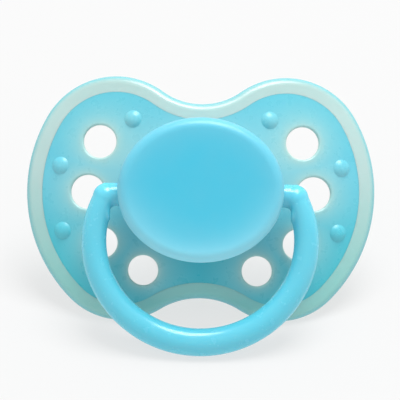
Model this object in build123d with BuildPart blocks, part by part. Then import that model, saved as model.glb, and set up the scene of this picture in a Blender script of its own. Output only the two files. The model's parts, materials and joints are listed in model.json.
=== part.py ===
from build123d import *
from math import acos, asin, atan2, cos, degrees, hypot, radians, sin
import os

# A pacifier: a domed butterfly shield with a soft edge band, an oval knob, a swinging ring and a teat.
# It is drawn in the shield's own frame, in millimetres: X across, Y up along the shield, Z out of its
# front, and the origin at the middle of the hub, level with the plate's front. At the end every piece is
# leaned back onto the teat, as the pacifier rests on a table: +Z up and the front facing -Y.

# Shield outline: arcs that run into each other, the same on both sides
half_width = 30.0
side_radius = 26.0
side_centre_y = 0.5
upper_lobe_radius = 13.7
upper_lobe_join = 30.0      # degrees above X, where the side arc runs into the upper lobe
lower_lobe_radius = 12.6
lower_lobe_join = 45.0      # degrees below X, where the side arc runs into the lower lobe
top_notch_y = 15.65
bottom_notch_y = -17.7

# Shield section
dome_radius_across = 68.0
dome_radius_along = 95.0
dome_span = 60.0            # the stretch of the dome along Y that the shield is cut from
dome_depth = 12.0
plate_thickness = 2.0
rim_width = 2.7
rim_front_radius = 1.4
rim_back_radius = 0.5
tongue_length = 1.3         # tongue round the plate that the soft rim is moulded over
tongue_thickness = 0.8
cut_length = 40.0           # long enough to cut through the whole dome

# Vent holes of one side: angle from X, distance from the hub, diameter
vents = [(27.6, 19.6, 5.6), (1.2, 19.35, 5.8), (-26.2, 18.75, 5.25), (-53.0, 16.2, 5.15)]
vent_edge_radius = 0.35

# Bumps of one side
bumps = [(11.75, 13.0), (24.2, 4.9), (23.7, -6.3)]
bump_radius = 1.5
bump_height = 0.58
bump_root = 0.4             # how far the bumps reach into the plate

# Seat of the knob in the middle of the plate, and the teat's bore behind it
seat_half_width = 11.6
seat_half_height = 9.8
seat_root = -1.8
seat_front = 1.2
collar_radius = 7.2
collar_back = -3.4
flange_radius = 7.5
flange_front = 0.2
flange_back = -0.8

# Knob: a base on the seat, and the oval cap over it
knob_centre = (0, 0.9)
cap_half_width = 14.2
cap_half_height = 12.35
cap_back = 6.4
cap_front = 9.2
cap_front_radius = 1.7
cap_back_radius = 0.7
base_inset = 1.0
pin_radius = 0.9
pin_length = 1.4
pin_spacing = (14.8, 11.2)
peg_radius = 1.2
peg_length = 2.0
peg_spacing = 16.4
lug_clearance = 0.5         # from the lugs' ends to the base's outside
core_radius = 1.8           # blind holes that keep the base's walls even
core_floor = 2.6
core_spacing = (10.8, 10.8)

# Ring: its tube lies between two ellipses, and tapers from its foot to the arms
pivot_height = 3.9          # the studs' axis in front of the plate
ring_half_width = 20.4
ring_half_height = 20.0
ring_drop = 7.5             # the outer ellipse's centre below the studs
opening_half_width = 16.0
opening_half_height = 14.95
opening_drop = 7.75
ring_depth = 4.3            # thickness from front to back
ring_end_angle = 112.0      # where the arms end, from the ring's lowest point
shoulder_angle = 70.0       # from here to their ends the arms lean in towards the studs
shoulder_lean = 0.6
ring_sections = 17
pad_top = 2.0               # pads inside the arms, with the round eyes that carry the studs at their tops
pad_bottom = -4.6
pad_inner = 15.4
pad_thickness = 1.2
pad_depth = 3.4
pad_edge_radius = 0.4
eye_radius = 2.2
eye_centre = (16.2, -0.3)
stud_radius = 2.0
stud_end = 10.0
stud_chamfer = 0.3
stud_clearance = 0.08       # running fit in the saddles
saddle_end = 9.8

# Teat and the plug in its neck
bulb_radius = 8.0
bulb_centre = -22.0
neck_radius = 5.3
neck_end = -4.0
waist_radius = 4.6
waist = -9.5
teat_wall = 1.6
plug_stem_radius = 2.5
plug_stem_front = 4.4
plug_core_radius = 1.2
plug_end_wall = 1.0

# Resting pose
lean_guess = 32.0           # degrees from upright
lean_tolerance = 0.01
swing_rounds = 8


def polar(radius, angle):
    """Point at a distance and an angle in degrees."""
    return Vector(radius * cos(radians(angle)), radius * sin(radians(angle)))


def bearing(start, end):
    """Angle in degrees of the way from one point to another."""
    return degrees(atan2(end.Y - start.Y, end.X - start.X))


def notch_radius(lobe, lobe_radius, notch_y):
    """Radius of the arc through a notch that runs into the lobe's arc."""
    drop = abs(lobe.Y - notch_y)
    return (lobe.X**2 + drop**2 - lobe_radius**2) / (2 * (lobe_radius - drop))


def butterfly(inset):
    """Face inside the shield's outline, moved inwards by inset."""
    side = Vector(half_width - side_radius, side_centre_y)
    upper = side + polar(side_radius - upper_lobe_radius, upper_lobe_join)
    lower = side + polar(side_radius - lower_lobe_radius, -lower_lobe_join)
    top_radius = notch_radius(upper, upper_lobe_radius, top_notch_y)
    bottom_radius = notch_radius(lower, lower_lobe_radius, bottom_notch_y)
    top = Vector(0, top_notch_y + top_radius)
    bottom = Vector(0, bottom_notch_y - bottom_radius)
    top_join = bearing(top, upper)
    bottom_join = bearing(bottom, lower)
    with BuildSketch() as face:
        with BuildLine():
            CenterArc(top, top_radius + inset, -90, top_join + 90)
            CenterArc(upper, upper_lobe_radius - inset, top_join + 180, upper_lobe_join - top_join - 180)
            CenterArc(side, side_radius - inset, upper_lobe_join, -lower_lobe_join - upper_lobe_join)
            CenterArc(lower, lower_lobe_radius - inset, -lower_lobe_join, bottom_join + lower_lobe_join - 180)
            CenterArc(bottom, bottom_radius + inset, bottom_join, 90 - bottom_join)
            mirror(about=Plane.YZ)
        make_face()
    return face.sketch


def domed(inset, front, back):
    """Butterfly cut out of a domed shell between two depths from the plate's front."""
    with BuildPart() as shell:
        with BuildSketch(Plane.YZ):
            with Locations((0, -dome_radius_along)):
                Circle(dome_radius_along + front)
                Circle(dome_radius_along + back, mode=Mode.SUBTRACT)
            Rectangle(dome_span, 2 * dome_depth, mode=Mode.INTERSECT)
        revolve(axis=Axis((0, 0, -dome_radius_across), (0, 1, 0)))
        with BuildSketch(Plane.XY.offset(-cut_length / 2)):
            add(butterfly(inset))
        extrude(amount=cut_length, mode=Mode.INTERSECT)
    return shell.part


def on_dome(x, y):
    """Plane that lies on the plate's front at a point, with its Z axis straight out of the dome."""
    rise = asin(y / dome_radius_along)
    reach = dome_radius_across - dome_radius_along * (1 - cos(rise))
    turn = asin(x / reach)
    normal = (sin(turn) * cos(rise), sin(rise), cos(turn) * cos(rise))
    return Plane(origin=(x, y, reach * cos(turn) - dome_radius_across), z_dir=normal)


def teat_profile(shrink):
    """Face from the axis out to the teat's neck, waist and bulb, with every radius less by shrink."""
    waist_drop = waist - bulb_centre
    throat = (waist_radius**2 + waist_drop**2 - bulb_radius**2) / (2 * (bulb_radius - waist_radius))
    throat_centre = Vector(waist_radius + throat, waist)
    join = bearing(Vector(0, bulb_centre), throat_centre)
    with BuildSketch() as face:
        with BuildLine():
            neck = Polyline(
                (0, flange_front),
                (neck_radius - shrink, flange_front),
                (neck_radius - shrink, neck_end),
                (waist_radius - shrink, waist),
            )
            CenterArc(throat_centre, throat + shrink, 180, join)
            bulb = CenterArc((0, bulb_centre), bulb_radius - shrink, join, -90 - join)
            Line(bulb @ 1, neck @ 0)
        make_face()
    return face.sketch


# Shield plate: the stiff butterfly, with a tongue round its edge
tongue_back = -(plate_thickness + tongue_thickness) / 2
plate_body = domed(rim_width, 0, -plate_thickness)
plate_tongue = domed(rim_width - tongue_length, tongue_back + tongue_thickness, tongue_back)

with BuildPart() as shield_plate:
    add(plate_body)
    add(plate_tongue)
    with BuildSketch(Plane.XY.offset(seat_root)):
        Ellipse(seat_half_width, seat_half_height)
    extrude(amount=seat_front - seat_root)
    with BuildSketch(Plane.XY.offset(collar_back)):
        Circle(collar_radius)
    extrude(amount=flange_back - collar_back)
    with BuildSketch(Plane.XY.offset(collar_back)):
        Circle(neck_radius)
    extrude(amount=seat_front - collar_back, mode=Mode.SUBTRACT)
    with BuildSketch(Plane.XY.offset(flange_back)):
        Circle(flange_radius)
    extrude(amount=seat_front - flange_back, mode=Mode.SUBTRACT)
    with BuildSketch(Plane.XY.offset(seat_front)):
        with GridLocations(*pin_spacing, 2, 2):
            Circle(pin_radius)
    extrude(amount=-pin_length, mode=Mode.SUBTRACT)
    for side in (-1, 1):
        for x, y in bumps:
            ball_radius = (bump_radius**2 + bump_height**2) / (2 * bump_height)
            cap_start = degrees(asin(1 - (bump_height + bump_root) / ball_radius))
            with Locations(on_dome(side * x, y).offset(-bump_root).location):
                Sphere(ball_radius, arc_size1=cap_start, align=(Align.CENTER, Align.CENTER, Align.MIN))
        for angle, distance, diameter in vents:
            middle = polar(distance, angle)
            with BuildSketch(Plane.XY.offset(-cut_length / 2)):
                with Locations((side * middle.X, middle.Y)):
                    Circle(diameter / 2)
            extrude(amount=cut_length, mode=Mode.SUBTRACT)
            mouths = shield_plate.edges(Select.LAST).filter_by(GeomType.LINE, reverse=True)
            fillet(mouths, vent_edge_radius)

# Shield rim: the soft band moulded over the tongue
with BuildPart() as shield_rim:
    add(domed(0, 0, -plate_thickness))
    front = shield_rim.faces().sort_by(SortBy.AREA)[-2:].sort_by(Axis.Z)[-1]
    fillet(front.edges(), rim_front_radius)
    back = shield_rim.faces().sort_by(SortBy.AREA)[-2:].sort_by(Axis.Z)[0]
    fillet(back.edges(), rim_back_radius)
    with BuildSketch(Plane.XY.offset(-cut_length / 2)):
        add(butterfly(rim_width))
    extrude(amount=cut_length, mode=Mode.SUBTRACT)
    add(plate_tongue, mode=Mode.SUBTRACT)

# Knob base: sits on the plate's seat and carries the ring's studs in two saddles open to the front
with BuildPart() as knob_base:
    with BuildSketch(Plane.XY.offset(seat_front)):
        Ellipse(seat_half_width, seat_half_height)
    with BuildSketch(Plane.XY.offset(cap_back)):
        with Locations(knob_centre):
            Ellipse(cap_half_width - base_inset, cap_half_height - base_inset)
    loft()
    with BuildSketch(Plane.XY.offset(seat_front)):
        with GridLocations(*pin_spacing, 2, 2):
            Circle(pin_radius)
    extrude(amount=-pin_length)
    with BuildSketch(Plane.XY.offset(seat_front)):
        Circle(plug_stem_radius)
    extrude(amount=plug_stem_front - seat_front, mode=Mode.SUBTRACT)
    with BuildSketch(Plane.XY.offset(cap_back)):
        with Locations(knob_centre):
            with GridLocations(0, peg_spacing, 1, 2):
                Circle(peg_radius)
    extrude(amount=-peg_length, mode=Mode.SUBTRACT)
    with BuildSketch(Plane.XY.offset(cap_back)):
        with Locations(knob_centre):
            with GridLocations(*core_spacing, 2, 2):
                Circle(core_radius)
    extrude(amount=core_floor - cap_back, mode=Mode.SUBTRACT)
    saddle_radius = stud_radius + stud_clearance
    for side in (-1, 1):
        with BuildSketch(Plane.YZ.offset(side * saddle_end)):
            with Locations((0, pivot_height)):
                Circle(saddle_radius)
            with Locations((0, (pivot_height + cap_back) / 2)):
                Rectangle(2 * saddle_radius, cap_back - pivot_height)
        extrude(amount=side * cap_half_width, mode=Mode.SUBTRACT)

# Knob cap: the oval face, with lugs that close the saddles and pegs that hold it on the base
with BuildPart() as knob_cap:
    with BuildSketch(Plane.XY.offset(cap_back)):
        with Locations(knob_centre):
            Ellipse(cap_half_width, cap_half_height)
    extrude(amount=cap_front - cap_back)
    fillet(knob_cap.edges().group_by(Axis.Z)[-1], cap_front_radius)
    fillet(knob_cap.edges().group_by(Axis.Z)[0], cap_back_radius)
    with BuildSketch(Plane.XY.offset(cap_back)):
        with Locations(knob_centre):
            with GridLocations(0, peg_spacing, 1, 2):
                Circle(peg_radius)
    extrude(amount=-peg_length)
    lug_length = cap_half_width - base_inset - saddle_end - lug_clearance
    with BuildSketch(Plane.XY.offset(pivot_height + saddle_radius)):
        with GridLocations(2 * saddle_end + lug_length, 0, 2, 1):
            Rectangle(lug_length, 2 * saddle_radius)
    extrude(amount=cap_back - pivot_height - saddle_radius)

# End of the ring's right arm: a pad that thickens the arm inside, and a round eye that carries the stud
with BuildPart() as arm_end:
    with BuildSketch(Plane.YZ.offset(pad_inner)):
        with Locations(((pad_top + pad_bottom) / 2, 0)):
            SlotOverall(pad_top - pad_bottom, pad_depth)
    extrude(amount=pad_thickness)
    fillet(arm_end.faces().sort_by(Axis.X)[0].edges(), pad_edge_radius)
    with Locations(eye_centre):
        Sphere(eye_radius, rotation=(0, 90, 0))
    with BuildSketch(Plane.YZ.offset(stud_end)):
        Circle(stud_radius)
    extrude(amount=pad_inner - stud_end)
    chamfer(arm_end.faces().sort_by(Axis.X)[0].edges(), stud_chamfer)

# Ring, in its own plane with its studs on the X axis: a tube that tapers from its foot to its arms
with BuildPart() as ring:
    for index in range(ring_sections):
        angle = ring_end_angle * (2 * index / (ring_sections - 1) - 1)
        shoulder = max(0, (abs(angle) - shoulder_angle) / (ring_end_angle - shoulder_angle))
        ray = polar(1, angle - 90)
        reach = ring_half_width - shoulder_lean * shoulder**2
        outer = Vector(reach * ray.X, ring_half_height * ray.Y - ring_drop)
        inner = Vector(opening_half_width * ray.X, opening_half_height * ray.Y - opening_drop)
        across = outer - inner
        with BuildSketch(Plane(origin=(outer + inner) / 2, x_dir=across, z_dir=across.rotate(Axis.Z, 90))):
            Ellipse(across.length / 2, ring_depth / 2)
    loft()
    with BuildSketch(Plane.XY.offset(-ring_depth)):
        with Locations((0, pad_bottom)):
            Rectangle(2 * pad_inner, 2 * ring_half_height, align=(Align.CENTER, Align.MIN))
    extrude(amount=2 * ring_depth, mode=Mode.SUBTRACT)
    add(arm_end.part)
    mirror(arm_end.part, about=Plane.YZ)

# Teat: flange, neck and bulb, all one hollow wall
with BuildPart() as teat:
    with BuildSketch(Plane.XZ):
        add(teat_profile(0))
        with Locations((0, flange_back)):
            Rectangle(flange_radius, flange_front - flange_back, align=(Align.MIN, Align.MIN))
    revolve(axis=Axis.Z)
    with BuildSketch(Plane.XZ):
        add(teat_profile(teat_wall))
    revolve(axis=Axis.Z, mode=Mode.SUBTRACT)

# Teat plug: fills the neck, holds the flange down and stands in the knob base
with BuildPart() as teat_plug:
    with BuildSketch(Plane.XY.offset(neck_end)):
        Circle(neck_radius - teat_wall)
    extrude(amount=flange_front - neck_end)
    with BuildSketch(Plane.XY.offset(flange_front)):
        Circle(flange_radius)
    extrude(amount=seat_front - flange_front)
    with BuildSketch(Plane.XY.offset(seat_front)):
        Circle(plug_stem_radius)
    extrude(amount=plug_stem_front - seat_front)
    with BuildSketch(Plane.XY.offset(plug_stem_front)):
        Circle(plug_core_radius)
    extrude(amount=neck_end + plug_end_wall - plug_stem_front, mode=Mode.SUBTRACT)

# Resting pose: leaned back until the teat's bulb and the lower lobes stand on the same level
def lowest(piece, lean):
    """Lowest level of a piece when the shield leans back from upright."""
    return piece.part.moved(Rotation(90 - lean, 0, 0)).bounding_box().min.Z


lean = lean_guess
lean_step = lean_guess / 2
while lean_step > lean_tolerance:
    lean += lean_step if lowest(teat, lean) > lowest(shield_rim, lean) else -lean_step
    lean_step /= 2
floor = lowest(shield_rim, lean)

# The ring swings about its studs until its lowest tube lies on the table too
pivot_level = pivot_height * sin(radians(lean)) - floor
tube_depth = ring_depth / 2
tube_width = (ring_half_height + ring_drop - opening_half_height - opening_drop) / 2
tube_reach = ring_half_height + ring_drop - tube_width
ring_lean = radians(lean)
for _ in range(swing_rounds):
    tube_foot = hypot(tube_width * cos(ring_lean), tube_depth * sin(ring_lean))
    ring_lean = acos((pivot_level - tube_foot) / tube_reach)
swing = degrees(ring_lean) - lean
ring.part = ring.part.moved(Pos(0, 0, pivot_height) * Rotation(-swing, 0, 0))

pieces = {
    "shield_plate": shield_plate,
    "shield_rim": shield_rim,
    "knob_base": knob_base,
    "knob_cap": knob_cap,
    "ring": ring,
    "teat": teat,
    "teat_plug": teat_plug,
}
leaned = Rotation(90 - lean, 0, 0)
box = Compound([piece.part.moved(leaned) for piece in pieces.values()]).bounding_box()
resting = Pos(0, -box.center().Y, -box.min.Z) * leaned

os.makedirs("parts", exist_ok=True)
for name, piece in pieces.items():
    piece.part = piece.part.moved(resting)
    piece.part.label = name
    export_step(piece.part, f"parts/{name}.step")

print(f"lean {lean:.2f}, swing {swing:.2f}, box {box.size}")
print(f"studs' axis at {resting * Pos(0, 0, pivot_height)}")
print(f"knob's face at {resting * Pos(*knob_centre, cap_front)}")
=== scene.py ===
import json
import math

import bpy
from mathutils import Matrix, Vector


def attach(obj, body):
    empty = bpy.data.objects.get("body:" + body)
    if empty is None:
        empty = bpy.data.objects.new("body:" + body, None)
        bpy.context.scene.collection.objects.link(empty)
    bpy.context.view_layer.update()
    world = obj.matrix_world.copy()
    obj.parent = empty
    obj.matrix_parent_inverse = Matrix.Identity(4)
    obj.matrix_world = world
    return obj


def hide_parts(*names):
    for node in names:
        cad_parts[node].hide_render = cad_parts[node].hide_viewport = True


# A pacifier on a white table. Everything is in metres, and MM turns the sizes named below into metres.
MM = 0.001

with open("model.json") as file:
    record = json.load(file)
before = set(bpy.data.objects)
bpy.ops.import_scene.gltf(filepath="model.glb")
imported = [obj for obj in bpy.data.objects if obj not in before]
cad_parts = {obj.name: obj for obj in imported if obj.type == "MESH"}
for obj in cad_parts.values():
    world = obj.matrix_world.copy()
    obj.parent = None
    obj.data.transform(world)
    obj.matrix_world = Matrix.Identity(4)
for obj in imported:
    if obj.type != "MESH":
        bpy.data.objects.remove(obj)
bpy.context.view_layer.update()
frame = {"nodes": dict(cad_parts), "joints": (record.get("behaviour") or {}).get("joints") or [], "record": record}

# The shield's own frame: across, up along the shield, and out of its front, from the middle of the hub
PIVOT_HEIGHT = 3.9 * MM
joint = frame["joints"][0]
knob_face = next(m for m in frame["record"]["mounts"] if m["name"] == "knob_face")
out = Vector(knob_face["axis"]).normalized()
across = Vector((1, 0, 0))
up = out.cross(across)
hub = Vector(joint["pos_m"]) - out * PIVOT_HEIGHT
turn = Matrix((across, up, out)).transposed()
to_row = Matrix.Translation(hub) @ turn.to_4x4()
to_shield = to_row.inverted()

# View
CAMERA_DISTANCE = 0.9
CAMERA_LENS = 473.0
CAMERA_ROLL = math.radians(0.6)
CAMERA_AIM = (-0.11 * MM, -0.8 * MM, 0)

# Light: a softbox above and a little behind the object, and a white room
KEY_ANGLE = math.radians(64)      # above the line of sight
KEY_SIDE = math.radians(8)        # to the right
KEY_DISTANCE = 0.9
KEY_SIZE = 0.5
KEY_POWER = 8.0
ROOM_LIGHT = 0.75
FLOOR_GLOW = 0.675
FLOOR_ALBEDO = 0.18
FLOOR_SIZE = 6.0

# Refined meshes
VOXEL = 0.2                       # millimetres
SOFTEN_ROUNDS = 6
SHARP_ANGLE = math.radians(50)

# Vents of one side, in the shield's frame and in millimetres: angle from across in degrees, distance from
# the hub, and diameter
VENTS = [(27.6, 19.6, 5.6), (1.2, 19.35, 5.8), (-26.2, 18.75, 5.25), (-53.0, 16.2, 5.15)]

# Knob cap's outline, in millimetres in the shield's frame
CAP_HALF_WIDTH = 14.2
CAP_HALF_HEIGHT = 12.35
CAP_CENTRE_Y = 0.9

# Colours, linear
PLATE_BLUE = (0.088, 0.535, 0.68)
# Painted shade: the plate's deeper colour towards the bottom, where the knob's shadow falls
PLATE_PAINTED_SHADE = (0.020, 0.49, 0.59)
PLATE_HIGH = (0.055, 0.49, 0.61)
# Paler thin plastic round the vents, and painted light beside the knob's upper half
PLATE_THIN_AND_PAINTED_LIGHT = (0.36, 0.66, 0.68)
VENT_SURROUND = (0.24, 0.52, 0.50)
VENT_EDGE = (0.50, 0.62, 0.57)
RIM_MILKY = (0.46, 0.64, 0.62)
# Painted shade: the rim deeper towards the bottom, in the knob's and the ring's shadow
RIM_PAINTED_SHADE = (0.22, 0.60, 0.56)
RIM_LOBES = (0.36, 0.52, 0.50)
# Painted refraction: teal on the rounded edge, standing in for the blue plate seen through it
RIM_PAINTED_REFRACTION = (0.20, 0.54, 0.58)
CAP_BLUE = (0.05, 0.50, 0.68)
CAP_EDGE = (0.20, 0.56, 0.68)
# Painted light: paler bottom edge of the cap, standing in for light bounced up from the table
CAP_PAINTED_BOUNCE_LIGHT = (0.33, 0.76, 0.88)
BASE_BLUE = (0.05, 0.49, 0.62)
RING_BLUE = (0.12, 0.59, 0.73)
SILICONE_CLEAR = (0.86, 0.84, 0.76)
PLUG_NATURAL = (0.72, 0.82, 0.84)
WORN_PALE = (0.8, 0.9, 0.92)

# Refractive indices
PLASTIC_IOR = 1.5
SILICONE_IOR = 1.41

# Noises of the moulded plastics, in cells to the metre
CLOUD_SCALE = 160
UNEVEN_SCALE = 420
ROUGHNESS_SCALE = 700
HAIRLINE_SCALE = 900
GRAIN_SCALE = 3200
HAIRLINE_STRETCH = (1.0, 7.0, 0.6)
GRAIN_DEPTH = 0.1 * MM


def camera():
    """Square to the shield, from far off, rolled a little."""
    data = bpy.data.cameras.new("camera")
    data.lens = CAMERA_LENS
    data.clip_end = 10
    data.dof.use_dof = False
    obj = bpy.data.objects.new("camera", data)
    facing = turn.to_4x4() @ Matrix.Rotation(CAMERA_ROLL, 4, "Z")
    aim = to_row @ Vector(CAMERA_AIM)
    obj.matrix_world = Matrix.Translation(aim + out * CAMERA_DISTANCE) @ facing
    bpy.context.scene.collection.objects.link(obj)
    bpy.context.scene.camera = obj


def softbox(name, direction, distance, size, power):
    """Square area light that looks at the hub from a direction."""
    data = bpy.data.lights.new(name, "AREA")
    data.shape = "SQUARE"
    data.size = size
    data.energy = power
    obj = bpy.data.objects.new(name, data)
    obj.rotation_mode = "QUATERNION"
    obj.rotation_quaternion = direction.to_track_quat("Z", "Y")
    obj.location = hub + direction * distance
    bpy.context.scene.collection.objects.link(obj)


def lights():
    """Softbox, and the white room."""
    key = out * math.cos(KEY_ANGLE) + up * math.sin(KEY_ANGLE) + across * math.sin(KEY_SIDE)
    softbox("softbox", key.normalized(), KEY_DISTANCE, KEY_SIZE, KEY_POWER)
    world = bpy.data.worlds.new("room")
    world.use_nodes = True
    room = world.node_tree.nodes["Background"]
    room.inputs["Color"].default_value = (1, 1, 1, 1)
    room.inputs["Strength"].default_value = ROOM_LIGHT
    bpy.context.scene.world = world
    bpy.context.scene.view_settings.view_transform = "Standard"


def floor():
    """White table, lit a little from inside, as a photographer's light table is."""
    bpy.ops.mesh.primitive_plane_add(size=FLOOR_SIZE)
    obj = bpy.context.object
    obj.name = "floor"
    material = bpy.data.materials.new("light_table")
    material.use_nodes = True
    shader = material.node_tree.nodes["Principled BSDF"]
    shader.inputs["Base Color"].default_value = (FLOOR_ALBEDO, FLOOR_ALBEDO, FLOOR_ALBEDO, 1)
    shader.inputs["Roughness"].default_value = 0.9
    shader.inputs["Specular IOR Level"].default_value = 0.0
    shader.inputs["Emission Color"].default_value = (1, 1, 1, 1)
    shader.inputs["Emission Strength"].default_value = FLOOR_GLOW
    obj.data.materials.append(material)


def refined(node, name):
    """Evenly meshed copy of a CAD node, with its sharp joins softened as moulded plastic has them."""
    mesh = frame["nodes"][node].data.copy()
    mesh.materials.clear()
    mesh.transform(Matrix.Scale(1 / MM, 4))
    obj = bpy.data.objects.new(name, mesh)
    bpy.context.scene.collection.objects.link(obj)
    remesh = obj.modifiers.new("remesh", "REMESH")
    remesh.mode = "VOXEL"
    remesh.voxel_size = VOXEL
    remesh.use_smooth_shade = True
    soften = obj.modifiers.new("soften", "SMOOTH")
    soften.factor = 0.5
    soften.iterations = SOFTEN_ROUNDS
    evaluated = obj.evaluated_get(bpy.context.evaluated_depsgraph_get())
    obj.data = bpy.data.meshes.new_from_object(evaluated)
    obj.modifiers.clear()
    obj.data.transform(Matrix.Scale(MM, 4))
    obj.data.name = name
    obj.data.set_sharp_from_angle(angle=SHARP_ANGLE)
    return obj


class Nodes:
    """Short way to build a material's nodes."""

    def __init__(self, name):
        self.material = bpy.data.materials.new(name)
        self.material.use_nodes = True
        self.tree = self.material.node_tree
        self.shader = self.tree.nodes["Principled BSDF"]

    def add(self, kind, **settings):
        node = self.tree.nodes.new(kind)
        for key, value in settings.items():
            setattr(node, key, value)
        return node

    def link(self, source, target):
        self.tree.links.new(source, target)

    def place(self):
        """Point in the shield's frame, in millimetres."""
        mapping = self.add("ShaderNodeMapping")
        mapping.inputs["Scale"].default_value = (1 / MM,) * 3
        mapping.inputs["Rotation"].default_value = turn.inverted().to_euler()
        mapping.inputs["Location"].default_value = turn.inverted() @ (-hub / MM)
        self.link(self.add("ShaderNodeTexCoord").outputs["Object"], mapping.inputs["Vector"])
        return mapping.outputs["Vector"]

    def math(self, operation, first, second=None):
        """One sum on a socket and a number or another socket."""
        node = self.add("ShaderNodeMath", operation=operation)
        for socket, value in zip(node.inputs, (first, second)):
            if isinstance(value, bpy.types.NodeSocket):
                self.link(value, socket)
            elif value is not None:
                socket.default_value = value
        return node.outputs["Value"]

    def flat(self, place, centre=(0, 0), half_sizes=(1, 1)):
        """Distance in the shield's plane from a centre, both sides alike, counted in half sizes."""
        parts = self.add("ShaderNodeSeparateXYZ")
        self.link(place, parts.inputs["Vector"])
        x = self.math("SUBTRACT", self.math("ABSOLUTE", parts.outputs["X"]), centre[0])
        y = self.math("SUBTRACT", parts.outputs["Y"], centre[1])
        x = self.math("DIVIDE", x, half_sizes[0])
        y = self.math("DIVIDE", y, half_sizes[1])
        square = self.math("ADD", self.math("MULTIPLY", x, x), self.math("MULTIPLY", y, y))
        return self.math("SQRT", square)

    def falloff(self, distance, reach, amount):
        """Amount at no distance, fading away over a reach."""
        over = self.math("DIVIDE", self.math("MAXIMUM", distance, 0.0), -reach)
        return self.math("MULTIPLY", self.math("EXPONENT", over), amount)

    def turned_away(self, start, end):
        """From 0 to 1 as the surface turns away from the shield's front and back, round an edge."""
        node = self.add("ShaderNodeVectorMath", operation="DOT_PRODUCT")
        self.link(self.add("ShaderNodeTexCoord").outputs["Normal"], node.inputs[0])
        node.inputs[1].default_value = out
        return self.spread(self.math("ABSOLUTE", node.outputs["Value"]), 0.0, 1.0, start, end)

    def height(self, place, start, end):
        """From 0 to 1 along the shield."""
        parts = self.add("ShaderNodeSeparateXYZ")
        self.link(place, parts.inputs["Vector"])
        return self.spread(parts.outputs["Y"], 0.0, 1.0, start, end)

    def noise(self, scale, detail=3.0, stretch=None):
        """Noise in the object's own space, with so many cells to the metre."""
        place = self.add("ShaderNodeTexCoord").outputs["Object"]
        if stretch:
            mapping = self.add("ShaderNodeMapping")
            mapping.inputs["Scale"].default_value = stretch
            self.link(place, mapping.inputs["Vector"])
            place = mapping.outputs["Vector"]
        noise = self.add("ShaderNodeTexNoise")
        noise.inputs["Scale"].default_value = scale
        noise.inputs["Detail"].default_value = detail
        self.link(place, noise.inputs["Vector"])
        return noise.outputs["Fac"]

    def spread(self, source, low, high, start=0.0, end=1.0):
        """Map a value's range to another one."""
        node = self.add("ShaderNodeMapRange")
        for key, value in (("From Min", start), ("From Max", end), ("To Min", low), ("To Max", high)):
            node.inputs[key].default_value = value
        self.link(source, node.inputs["Value"])
        return node.outputs["Result"]

    def mix(self, factor, first, second):
        """Mix two colours, each a colour or an output."""
        node = self.add("ShaderNodeMix", data_type="RGBA")
        self.link(factor, node.inputs["Factor"])
        for index, value in ((6, first), (7, second)):
            if isinstance(value, bpy.types.NodeSocket):
                self.link(value, node.inputs[index])
            else:
                node.inputs[index].default_value = (*value, 1)
        return node.outputs[2]


def moulded(name, colour, layers, rough, grain=0.02, milky=0.3, depth=1.0, coat=0.0):
    """Moulded plastic: a colour with a faint clouding, paler or deeper layers over it, some of them painted light
    and shade, a grained surface and hairline wear. The layers are a function that gives the factor and the colour
    of each."""
    look = Nodes(name)
    shader = look.shader
    cloud = look.spread(look.noise(CLOUD_SCALE, 4.0), 0.0, 0.16, 0.35, 0.75)
    tint = look.mix(cloud, colour, tuple(0.75 * c + 0.12 for c in colour))
    uneven = look.spread(look.noise(UNEVEN_SCALE, 3.0), 0.9, 1.1)
    for factor, layer in (layers(look) if layers else ()):
        tint = look.mix(look.math("MULTIPLY", factor, uneven), tint, layer)
    hairline = look.spread(look.noise(HAIRLINE_SCALE, 2.0, HAIRLINE_STRETCH), 0.0, 1.0, 0.70, 0.78)
    worn = look.spread(hairline, 0.0, 0.03)
    tint = look.mix(worn, tint, WORN_PALE)
    look.link(tint, shader.inputs["Base Color"])
    base = look.spread(look.noise(ROUGHNESS_SCALE, 3.0), rough - 0.05, rough + 0.05, 0.3, 0.7)
    look.link(look.math("ADD", base, look.spread(hairline, 0.0, 0.12)), shader.inputs["Roughness"])
    bump = look.add("ShaderNodeBump")
    bump.inputs["Strength"].default_value = grain
    bump.inputs["Distance"].default_value = GRAIN_DEPTH
    look.link(look.noise(GRAIN_SCALE, 2.0), bump.inputs["Height"])
    look.link(bump.outputs["Normal"], shader.inputs["Normal"])
    shader.inputs["IOR"].default_value = PLASTIC_IOR
    shader.inputs["Subsurface Weight"].default_value = milky
    shader.inputs["Subsurface Radius"].default_value = (0.7, 1.0, 1.0)
    shader.inputs["Subsurface Scale"].default_value = depth * MM
    shader.inputs["Coat Weight"].default_value = coat
    shader.inputs["Coat Roughness"].default_value = 0.12
    return look.material


def dress(node, material):
    """Give a CAD node its material."""
    mesh = frame["nodes"][node].data
    mesh.materials.clear()
    mesh.materials.append(material)


def stand_in(piece, material, body, node):
    """Show a refined piece in place of its CAD node."""
    piece.data.materials.append(material)
    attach(piece, body)
    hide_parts(node)


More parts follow.
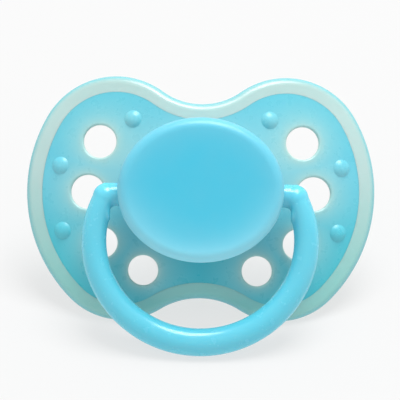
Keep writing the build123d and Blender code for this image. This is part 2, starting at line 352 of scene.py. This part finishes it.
def plate_layers(look):
    """Deeper towards the top; deeper towards the bottom as painted shade where the knob's shadow falls; paler
    where it is thin round the vents; paler beside the knob's upper half, partly milky plastic and partly painted
    light, as it is kept off the lower half that lies in the knob's shade.
    """
    place = look.place()
    vent = None
    for angle, distance, diameter in VENTS:
        middle = (distance * math.cos(math.radians(angle)), distance * math.sin(math.radians(angle)))
        gap = look.math("SUBTRACT", look.flat(place, middle), diameter / 2)
        vent = look.math("MINIMUM", vent, gap) if vent else gap
    knob = look.flat(place, (0, CAP_CENTRE_Y), (CAP_HALF_WIDTH, CAP_HALF_HEIGHT))
    knob = look.math("MULTIPLY", look.math("SUBTRACT", knob, 1.0), CAP_HALF_HEIGHT)
    upper = look.height(place, -6, 6)
    # Partly painted light: paler beside the knob only on its upper half, the lower half being left in the knob's
    # painted shade
    beside = look.math("MULTIPLY", look.falloff(knob, 4.0, 0.45), upper)
    round_vents = look.math("MULTIPLY", look.falloff(vent, 3.0, 0.75), look.spread(upper, 0.9, 1.0))
    return [
        # Painted shade: deeper towards the bottom, under the knob
        (look.height(place, 3, -12), PLATE_PAINTED_SHADE),
        (look.math("MULTIPLY", look.height(place, 4, 14), 0.6), PLATE_HIGH),
        # Pale of the thin plastic round the vents, a touch weaker low down, plus painted light beside the knob's
        # upper half
        (look.math("ADD", beside, round_vents), PLATE_THIN_AND_PAINTED_LIGHT),
        (look.falloff(vent, 2.0, 0.3), VENT_SURROUND),
        (look.falloff(vent, 0.5, 0.75), VENT_EDGE),
    ]


def rim_layers(look):
    """Painted shade towards the bottom, deeper on the upper lobes, and a painted tint where it rounds off,
    standing in for the blue plate seen through the translucent edge.
    """
    place = look.place()
    deep = look.math("MULTIPLY", look.height(place, 4, -14), 0.7)
    lobes = look.math("MULTIPLY", look.height(place, 14, 20), 0.5)
    return [
        # Painted shade towards the bottom
        (deep, RIM_PAINTED_SHADE),
        (lobes, RIM_LOBES),
        # Painted refraction where the rim rounds off
        (look.turned_away(0.9, 0.5), RIM_PAINTED_REFRACTION),
    ]


def shield():
    """Stiff plate and the soft rim round it."""
    dress("shield_plate", moulded("plate", PLATE_BLUE, plate_layers, rough=0.3, milky=0.35, depth=1.0))
    dress("shield_rim", moulded("rim", RIM_MILKY, rim_layers, rough=0.22, milky=0.5, depth=1.0))


def cap_layers(look):
    """Paler towards the edge, and paler still at the bottom edge as painted light bounced up from the table."""
    place = look.place()
    ratio = look.flat(place, (0, CAP_CENTRE_Y), (CAP_HALF_WIDTH, CAP_HALF_HEIGHT))
    inset = look.math("MULTIPLY", look.math("SUBTRACT", 1.0, ratio), CAP_HALF_HEIGHT)
    # Painted light bounced up from the table, on the cap's bottom edge
    below = look.math("MULTIPLY", look.falloff(inset, 2.6, 0.9), look.height(place, 2, -10))
    return [(look.falloff(inset, 2.0, 0.75), CAP_EDGE), (below, CAP_PAINTED_BOUNCE_LIGHT)]


def knob():
    """Cap and the base under it."""
    cap_look = moulded("cap", CAP_BLUE, cap_layers, rough=0.38, milky=0.3)
    stand_in(refined("knob_cap", "cap_skin"), cap_look, "shield", "knob_cap")
    dress("knob_base", moulded("base", BASE_BLUE, None, rough=0.35, milky=0.3))


def ring():
    """Swinging handle."""
    look = moulded("ring", RING_BLUE, None, rough=0.24, milky=0.7, depth=2.0, coat=0.3)
    stand_in(refined("ring", "ring_skin"), look, "ring", "ring")


def teat():
    """Clear silicone, a little milky, and the plug in its neck."""
    silicone = moulded("silicone", SILICONE_CLEAR, None, rough=0.18, milky=0.5, depth=3.0)
    shader = silicone.node_tree.nodes["Principled BSDF"]
    shader.inputs["Transmission Weight"].default_value = 0.55
    shader.inputs["IOR"].default_value = SILICONE_IOR
    dress("teat", silicone)
    dress("teat_plug", moulded("plug", PLUG_NATURAL, None, rough=0.4))


camera()
lights()
floor()
shield()
knob()
ring()
teat()
